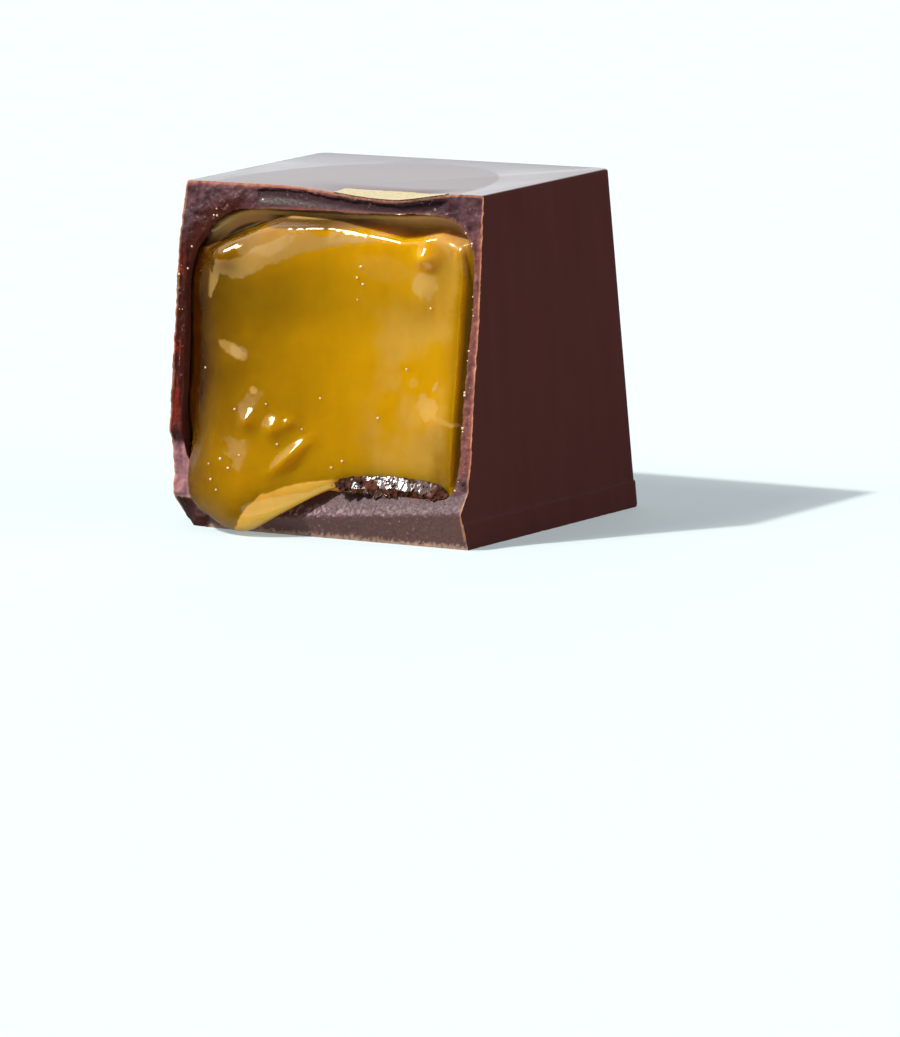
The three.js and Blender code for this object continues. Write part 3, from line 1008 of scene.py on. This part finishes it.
def make_bubbles(material):
    bm = bmesh.new()
    for x, z in BUBBLES:
        angle, distance = round_middle(x, z)
        share = distance / reach_at(CARAMEL_REACH, angle)
        size = random.uniform(*BUBBLE_SIZES)
        spot = Vector((x, front_depth(x, z, share) - 0.3 * size, z))
        bmesh.ops.create_icosphere(bm, subdivisions=2, radius=size, matrix=Matrix.Translation(spot))
    piece = new_object("air_bubbles", bm, material)
    put_in_place(piece)


# Tiny drops by the mouth's right and left edge, as angles, and how far from the edge they lie
DROPLET_COUNT = 24
DROPLETS_RIGHT = (-0.6, 0.7)
DROPLETS_LEFT = (2.1, 3.1)
DROPLETS_NEAR = -0.02
DROPLETS_FAR_RIGHT = 0.16
DROPLETS_FAR_LEFT = 0.7
DROPLET_SIZES = (0.03, 0.09)


def make_droplets(material):
    """Tiny drops of caramel left along the mouth's edge where the knife went through."""
    bm = bmesh.new()
    for _ in range(DROPLET_COUNT):
        angle = random.choice((random.uniform(*DROPLETS_RIGHT), random.uniform(*DROPLETS_LEFT)))
        far = DROPLETS_FAR_LEFT if angle > DROPLETS_RIGHT[1] else DROPLETS_FAR_RIGHT
        reach = reach_at(HOLLOW_REACH, angle) + random.uniform(DROPLETS_NEAR, far)
        spot = at_angle(angle, reach, 0)
        spot.y = cut_depth(spot.x, spot.z)
        size = random.uniform(*DROPLET_SIZES)
        bmesh.ops.create_icosphere(bm, subdivisions=2, radius=size, matrix=Matrix.Translation(spot))
    piece = new_object("caramel_droplets", bm, material)
    put_in_place(piece)


# The gold print

GOLD_CELLS = 110
GOLD_RAGGED = 0.06


def make_gold(cut_tool, material):
    def spot(across, up):
        x = GOLD_LEFT + GOLD_SIDE * across
        y = GOLD_BACK - GOLD_SIDE * (1 - up)
        rag = GOLD_RAGGED * grain(x, y, 0, 0.35)
        return x + rag, y + rag

    def place(across, up):
        x, y = spot(across, up)
        return Vector((x, y, HEIGHT - top_drop(x, y) + GOLD_THICKNESS))

    def far(across, up):
        x, y = spot(across, up)
        return Vector((x, y, HEIGHT - top_drop(x, y) - GOLD_THICKNESS))

    gold = new_object("gold_print", block_behind_grid((GOLD_CELLS, GOLD_CELLS), place, far), material)
    take_away(gold, cut_tool)
    put_in_place(gold, "gold_square", sharp_over=40)


# Materials

# The top face is a little duller inside this distance, where it let go of the mould first
RELEASE_MARK = 9.9
RELEASE_EDGE = 0.12
RELEASE_DULL = 0.28
RELEASED_BELOW_TOP = (0.6, 0.4)
CHOCOLATE_IOR = 1.46
SYRUP_IOR = 1.48


def linear(colour):
    """An sRGB hex colour as linear RGBA."""
    channels = [int(colour[i:i + 2], 16) / 255 for i in (1, 3, 5)]
    return [c / 12.92 if c <= 0.04045 else ((c + 0.055) / 1.055) ** 2.4 for c in channels] + [1.0]


def lumps_of(size):
    """The scale of a noise whose lumps have the given size in mm."""
    return 1 / (size * MM)


def fill(node, inputs):
    """Sets a node's inputs to values, or links sockets to them. A node stands for its first output."""
    for name, value in inputs.items():
        if isinstance(value, bpy.types.Node):
            value = value.outputs[0]
        if isinstance(value, bpy.types.NodeSocket):
            node.id_data.links.new(value, node.inputs[name])
        else:
            node.inputs[name].default_value = value


def add_node(tree, kind, inputs=None, **settings):
    """Adds a node with its settings, and fills its inputs."""
    node = tree.nodes.new("ShaderNode" + kind)
    for name, value in settings.items():
        setattr(node, name, value)
    fill(node, inputs or {})
    return node


def new_material(name):
    """A material, a function that adds nodes to it, its shader and its Object coordinates."""
    material = bpy.data.materials.new(name)
    material.use_nodes = True
    add = partial(add_node, material.node_tree)
    return material, add, material.node_tree.nodes["Principled BSDF"], add("TexCoord").outputs["Object"]


def tempered_chocolate():
    """Dark chocolate set against a polished mould: a glossy skin with faint upright streaks."""
    material, add, shader, place = new_material("tempered_dark_chocolate")
    stretched = add("Mapping", {"Vector": place, "Scale": (1, 1, 0.12)})
    streaks = add("TexNoise", {"Vector": stretched, "Scale": lumps_of(1.1111), "Detail": 4})
    clouds = add("TexNoise", {"Vector": place, "Scale": lumps_of(6.25), "Detail": 5})
    dull = add("MapRange",
               {"Value": clouds, "From Min": 0.35, "From Max": 0.75, "To Min": 0.16, "To Max": 0.26})
    tone = add("Mix", {0: streaks, 6: linear("#3e1e1b"), 7: linear("#4a2521")}, data_type="RGBA").outputs[2]
    axes = add("SeparateXYZ", {0: place}).outputs
    flat = add("CombineXYZ", {"X": axes["X"], "Y": axes["Y"]})
    centre = tuple(TO_ROW @ Vector((0, 0, 0)))
    far_out = add("VectorMath", {0: flat, 1: centre}, operation="DISTANCE").outputs["Value"]
    released = add("MapRange",
                   {"Value": far_out, "From Min": (RELEASE_MARK + RELEASE_EDGE) * MM,
                    "From Max": (RELEASE_MARK - RELEASE_EDGE) * MM})
    on_top = add("MapRange",
                 {"Value": axes["Z"], "From Min": (HEIGHT - RELEASED_BELOW_TOP[0]) * MM,
                  "From Max": (HEIGHT - RELEASED_BELOW_TOP[1]) * MM})
    released = add("Math", {0: released, 1: on_top}, operation="MULTIPLY")
    dull = add("Mix", {0: released, 2: dull, 3: RELEASE_DULL})
    fill(shader, {"Base Color": tone, "Roughness": dull, "IOR": CHOCOLATE_IOR})
    return material


def fractured_chocolate():
    """Broken and knife-cut dark chocolate: matt and pale with tiny crumbs, with painted peach rim light on
    thin edges and painted shade on the broken corner.
    """
    material, add, shader, place = new_material("cut_dark_chocolate")
    crumbs = add("TexNoise", {"Vector": place, "Scale": lumps_of(0.2381), "Detail": 4})
    patches = add("TexNoise", {"Vector": place, "Scale": lumps_of(0.9091), "Detail": 4})
    clumps = add("TexNoise", {"Vector": place, "Scale": lumps_of(2.381), "Detail": 2})
    mottled = add("MapRange", {"Value": patches, "From Min": 0.35, "From Max": 0.65})
    tone = add("Mix", {0: mottled, 6: linear("#331a1e"), 7: linear("#5a383f")}, data_type="RGBA").outputs[2]
    for name, (colour, _, _) in CUT_PARTS.items():
        share = add("Attribute", attribute_name=name).outputs["Fac"]
        tone = add("Mix", {0: share, 6: tone, 7: linear(colour)}, data_type="RGBA").outputs[2]
    speck = add("MapRange", {"Value": crumbs, "From Min": 0.62, "From Max": 0.76})
    gathered = add("MapRange", {"Value": clumps, "From Min": 0.46, "From Max": 0.66})
    speck = add("Math", {0: speck, 1: gathered}, operation="MULTIPLY")
    tone = add("Mix", {0: speck, 6: tone, 7: linear("#a88488")}, data_type="RGBA").outputs[2]
    grey = add("MapRange",
               {"Value": crumbs, "From Min": 0.3, "From Max": 0.7, "To Min": 0.86, "To Max": 1.12})
    tone = add("Mix", {0: 1.0, 6: tone, 7: grey}, data_type="RGBA", blend_type="MULTIPLY").outputs[2]
    melted = add("Attribute", attribute_name="melted_rim").outputs["Fac"]
    dull = add("Mix", {0: melted, 2: 0.5, 3: 0.18})
    bump = add("Bump", {"Height": crumbs, "Strength": 0.6, "Distance": 0.08 * MM})
    fill(shader,
         {"Base Color": tone, "Roughness": dull, "IOR": CHOCOLATE_IOR, "Specular IOR Level": 0.28,
          "Normal": bump})
    return material


def smeared_chocolate_painted_light():
    """The inside of the shell: dark chocolate still wet with caramel, glossy and smeared, painted lighter
    where its rim lies in shade.
    """
    material, add, shader, place = new_material("smeared_dark_chocolate_painted_light")
    smears = add("TexNoise", {"Vector": place, "Scale": lumps_of(2), "Detail": 5, "Distortion": 1.5})
    # Painted light: lighter than the wall's own colour, for its rim by the caramel, which lies in shade
    tone = add("Mix", {0: smears, 6: linear("#5c241a"), 7: linear("#8c4c3c")}, data_type="RGBA").outputs[2]
    fill(shader, {"Base Color": tone, "Roughness": 0.25, "IOR": 1.47})
    return material


def soft_caramel():
    """Soft caramel: clear amber that light goes into, dark by the wall, with painted shade, reflections and
    light.
    """
    material, add, shader, place = new_material("soft_amber_caramel")
    marks = {}
    for name in CARAMEL_MARKS:
        marks[name] = add("Attribute", attribute_name=name).outputs["Fac"]
    clouds = add("TexNoise", {"Vector": place, "Scale": lumps_of(3.8462), "Detail": 4})
    clear = add("Mix", {0: clouds, 6: linear("#b88600"), 7: linear("#c69200")}, data_type="RGBA").outputs[2]
    brown = add("Mix", {0: marks["trough_painted_light"], 6: linear("#3e2810"), 7: linear("#e6aa6c")},
                data_type="RGBA").outputs[2]
    # Dark by the wall: partly the wall showing through, partly painted shade
    tone = add("Mix", {0: marks["clear_and_painted_shade"], 6: linear("#2e1200"), 7: clear},
               data_type="RGBA").outputs[2]
    # Painted shade and light in the trough, painted reflections, and painted light on the run's lower edge
    over = {"trough": brown, "painted_reflection": linear("#c09c58"), "run_painted_light": linear("#f4b848")}
    for name, colour in over.items():
        tone = add("Mix", {0: marks[name], 6: tone, 7: colour}, data_type="RGBA").outputs[2]
    upright = add("Mapping", {"Vector": place, "Scale": (1, 1, 0.4)})
    threads = add("TexNoise",
                  {"Vector": upright, "Scale": lumps_of(0.9091), "Detail": 4, "Distortion": 0.6})
    grey = add("MapRange",
               {"Value": threads, "From Min": 0.3, "From Max": 0.7, "To Min": 0.96, "To Max": 1.04})
    tone = add("Mix", {0: 1.0, 6: tone, 7: grey}, data_type="RGBA", blend_type="MULTIPLY").outputs[2]
    depth = add("MapRange", {"Value": marks["trough"], "To Min": 0.9, "To Max": 0.15})
    fill(shader,
         {"Base Color": tone, "Roughness": 0.07, "IOR": SYRUP_IOR, "Specular IOR Level": 0.75,
          "Specular Tint": linear("#fff2d0"), "Subsurface Weight": depth,
          "Subsurface Radius": (1.0, 0.6, 0.1), "Subsurface Scale": 3.5 * MM})
    return material


def wet_chocolate():
    """Chocolate crumbs soaked in syrup: dark red-brown, dull on the left and glinting where syrup pools."""
    material, add, shader, place = new_material("wet_chocolate_crumbs")
    grains = add("TexNoise", {"Vector": place, "Scale": lumps_of(0.38462), "Detail": 3})
    even = add("MapRange", {"Value": grains, "From Min": 0.4, "From Max": 0.66})
    tone = add("Mix", {0: even, 6: linear("#1e0c06"), 7: linear("#502a1a")}, data_type="RGBA").outputs[2]
    shifted = add("Mapping", {"Vector": place, "Location": (2.1 * MM, 0, 0)})
    pools = add("TexNoise", {"Vector": shifted, "Scale": lumps_of(1.25), "Detail": 2})
    across = add("SeparateXYZ", {"Vector": place}).outputs["X"]
    drier_left = add("MapRange",
                     {"Value": across, "From Min": 3.5 * MM, "From Max": 5.5 * MM, "To Min": 0.07,
                      "To Max": -0.01})
    pools = add("Math", {0: pools, 1: drier_left})
    for name, wet, dull in (("Roughness", 0.15, 0.55), ("Specular IOR Level", 0.6, 0.03)):
        found = add("MapRange",
                    {"Value": pools, "From Min": 0.52, "From Max": 0.56, "To Min": wet, "To Max": dull})
        fill(shader, {name: found})
    fill(shader, {"Base Color": tone, "IOR": SYRUP_IOR})
    return material


def froth_with_painted_sparkle():
    """Air bubbles and tiny drops of caramel: pale yellow beads, near white where a sparkle of light is
    painted in.
    """
    material, add, shader, place = new_material("frothy_caramel_painted_sparkle")
    uneven = add("TexNoise", {"Vector": place, "Scale": lumps_of(0.33333), "Detail": 1})
    # Painted highlight: the colour runs up to near white to stand in for the beads' sparkle
    tone = add("Mix", {0: uneven, 6: linear("#d8a868"), 7: linear("#fff0d8")}, data_type="RGBA").outputs[2]
    fill(shader, {"Base Color": tone, "Roughness": 0.15, "IOR": SYRUP_IOR})
    return material


def gold_powder():
    """Edible gold powder brushed through a stencil: fine bright grains on a satin metal."""
    material, add, shader, place = new_material("edible_gold_powder")
    grains = add("TexNoise", {"Vector": place, "Scale": lumps_of(0.16667), "Detail": 3})
    tone = add("Mix", {0: grains, 6: linear("#a4905a"), 7: linear("#e4d8b4")}, data_type="RGBA").outputs[2]
    bump = add("Bump", {"Height": grains, "Strength": 0.6, "Distance": 0.05 * MM})
    fill(shader, {"Base Color": tone, "Metallic": 0.85, "Roughness": 0.5, "Normal": bump})
    return material


def pale_floor():
    """A pale table with light coming through it, so that shadows on it stay soft and light."""
    material, _, shader, _ = new_material("pale_matt_floor")
    fill(shader,
         {"Base Color": linear("#9aa4a8"), "Roughness": 0.9, "Specular IOR Level": 0.1,
          "Emission Color": linear("#ecf8fb"), "Emission Strength": 0.33})
    return material


# The studio

FLOOR_HALF = 3.0
CAMERA_SPOT = (397.13, -454.72, 103.03)
CAMERA_AZIMUTH = 40.6
CAMERA_LOOKS_DOWN = 9.676
CAMERA_ROLL = -3.26
FOCAL_LENGTH = 337.1
SENSOR = 36.0

KEY_AZIMUTH = -49
KEY_ELEVATION = 54
KEY_STRENGTH = 4.6
KEY_ANGLE = 2.5
FILL_AZIMUTH = 98
FILL_ELEVATION = 18
FILL_STRENGTH = 1.5
FILL_ANGLE = 50

# Soft surfaces round the part, as (strength, edges by azimuth, edges by elevation), each edge from none to
# full in degrees: a card on the left, the table, a dim glow low on the left, and a dim wall on the right.
SURFACES = [
    (1.0, [(-24, -33)], [(22, 24), (60, 44)]),
    (1.4, [(-24, -18)], [(-33, -36)]),
    (0.14, [(-50, -70)], [(-10, -25)]),
    (0.3, [(55, 70), (150, 130)], [(2, 8), (60, 44)]),
]
UNLIT = (0.06, 0.062, 0.07, 1)
LIT = (1.25, 1.26, 1.28, 1)

# The bright wall behind the part, within an angle whose cosine is given, and from the horizon up
BEHIND_LIGHT = (1.46, 1.58, 1.64, 1)
BEHIND_STARTS = (0.8, 0.92)
BEHIND_RISES = (-2, 5)

# The key's dish, as it shows in reflections
DISH_REACH = 8.0
DISH_EDGE = 0.6
DISH_LIGHT = (22, 21.3, 20.3, 1)


def direction(azimuth, elevation):
    """The way from the part to something at that azimuth, counted from -Y towards +X, and elevation."""
    a, e = math.radians(azimuth), math.radians(elevation)
    return Vector((math.sin(a) * math.cos(e), -math.cos(a) * math.cos(e), math.sin(e)))


def make_floor():
    bm = bmesh.new()
    bmesh.ops.create_grid(bm, x_segments=1, y_segments=1, size=FLOOR_HALF)
    floor = new_object("floor", bm, pale_floor())
    floor.visible_glossy = False


def make_camera():
    lens = bpy.data.cameras.new("camera")
    lens.sensor_width = SENSOR
    lens.lens = FOCAL_LENGTH
    lens.clip_start = 0.01
    lens.clip_end = 20
    camera = bpy.data.objects.new("camera", lens)
    turn = Matrix.Rotation(math.radians(CAMERA_AZIMUTH), 4, "Z")
    tilt = Matrix.Rotation(math.radians(90 - CAMERA_LOOKS_DOWN), 4, "X")
    roll = Matrix.Rotation(math.radians(CAMERA_ROLL), 4, "Z")
    camera.matrix_world = Matrix.Translation(TO_ROW @ Vector(CAMERA_SPOT)) @ turn @ tilt @ roll
    bpy.context.scene.collection.objects.link(camera)
    bpy.context.scene.camera = camera


def add_sun(name, azimuth, elevation, strength, angle):
    light = bpy.data.lights.new(name, "SUN")
    light.energy = strength
    light.angle = math.radians(angle)
    lamp = bpy.data.objects.new(name, light)
    way = direction(azimuth, elevation)
    lamp.location = way + Vector((0, 0, HEIGHT / 2 * MM))
    lamp.rotation_euler = way.to_track_quat("Z", "Y").to_euler()
    bpy.context.scene.collection.objects.link(lamp)
    return lamp


def make_lights():
    """A warm key from the upper left, and a wide fill from the right that doesn't show in reflections."""
    key = add_sun("key", KEY_AZIMUTH, KEY_ELEVATION, KEY_STRENGTH, KEY_ANGLE)
    key.data.color = (1.0, 0.97, 0.92)
    fill_light = add_sun("fill", FILL_AZIMUTH, FILL_ELEVATION, FILL_STRENGTH, FILL_ANGLE)
    fill_light.visible_glossy = False


def make_world():
    """Pale all round to the eye. As a light it is dim, with soft surfaces, a bright wall and the key."""
    world = bpy.data.worlds.new("studio")
    bpy.context.scene.world = world
    world.use_nodes = True
    world.node_tree.nodes.clear()
    add = partial(add_node, world.node_tree)
    ray = add("TexCoord").outputs["Generated"]
    axes = add("SeparateXYZ", {0: ray}).outputs
    forwards = add("Math", {0: axes["Y"], 1: -1.0}, operation="MULTIPLY")
    azimuth = add("Math", {0: axes["X"], 1: forwards}, operation="ARCTAN2")

    def turned(start, full):
        return azimuth, math.radians(start), math.radians(full)

    def raised(start, full):
        return axes["Z"], math.sin(math.radians(start)), math.sin(math.radians(full))

    def within(strength, edges):
        """The strength inside all the edges, fading to nothing over each of them."""
        for value, start, full in edges:
            fade = add("MapRange", {"Value": value, "From Min": start, "From Max": full},
                       interpolation_type="SMOOTHSTEP")
            strength = add("Math", {0: strength, 1: fade}, operation="MULTIPLY")
        return strength

    lit = 0.0
    for strength, by_azimuth, by_elevation in SURFACES:
        edges = [turned(*edge) for edge in by_azimuth] + [raised(*edge) for edge in by_elevation]
        surface = within(strength, edges)
        lit = add("Math", {0: lit, 1: surface}, operation="MAXIMUM")

    ways = -direction(CAMERA_AZIMUTH, 0), direction(KEY_AZIMUTH, KEY_ELEVATION)
    to_back, to_key = [
        add("VectorMath", {0: ray, 1: way}, operation="DOT_PRODUCT").outputs["Value"] for way in ways
    ]
    back = within(1.0, [(to_back, *BEHIND_STARTS), raised(*BEHIND_RISES)])
    dish_starts = math.cos(math.radians(DISH_REACH + DISH_EDGE))
    dish = within(1.0, [(to_key, dish_starts, math.cos(math.radians(DISH_REACH)))])
    tone = UNLIT
    for share, colour in ((lit, LIT), (back, BEHIND_LIGHT), (dish, DISH_LIGHT)):
        tone = add("Mix", {0: share, 6: tone, 7: colour}, data_type="RGBA").outputs[2]
    light = add("Background", {"Color": tone})
    pale = add("Background", {"Color": linear("#f2fbfd")})
    seen = add("LightPath").outputs["Is Camera Ray"]
    mixed = add("MixShader", {0: seen, 1: light, 2: pale})
    add("OutputWorld", {"Surface": mixed})


tempered = tempered_chocolate()
fractured = fractured_chocolate()
smeared_painted_light = smeared_chocolate_painted_light()
caramel_finish = soft_caramel()
gold_finish = gold_powder()

knife = make_cut_tool(fractured)
make_shell(knife, smeared_painted_light, tempered)
make_gold(knife, gold_finish)
bpy.data.objects.remove(knife)
make_caramel(caramel_finish)
make_wet_crumbs(wet_chocolate())
froth_and_sparkle = froth_with_painted_sparkle()
make_bubbles(froth_and_sparkle)
make_droplets(froth_and_sparkle)

make_floor()
make_camera()
make_lights()
make_world()
bpy.context.scene.view_settings.view_transform = "Standard"
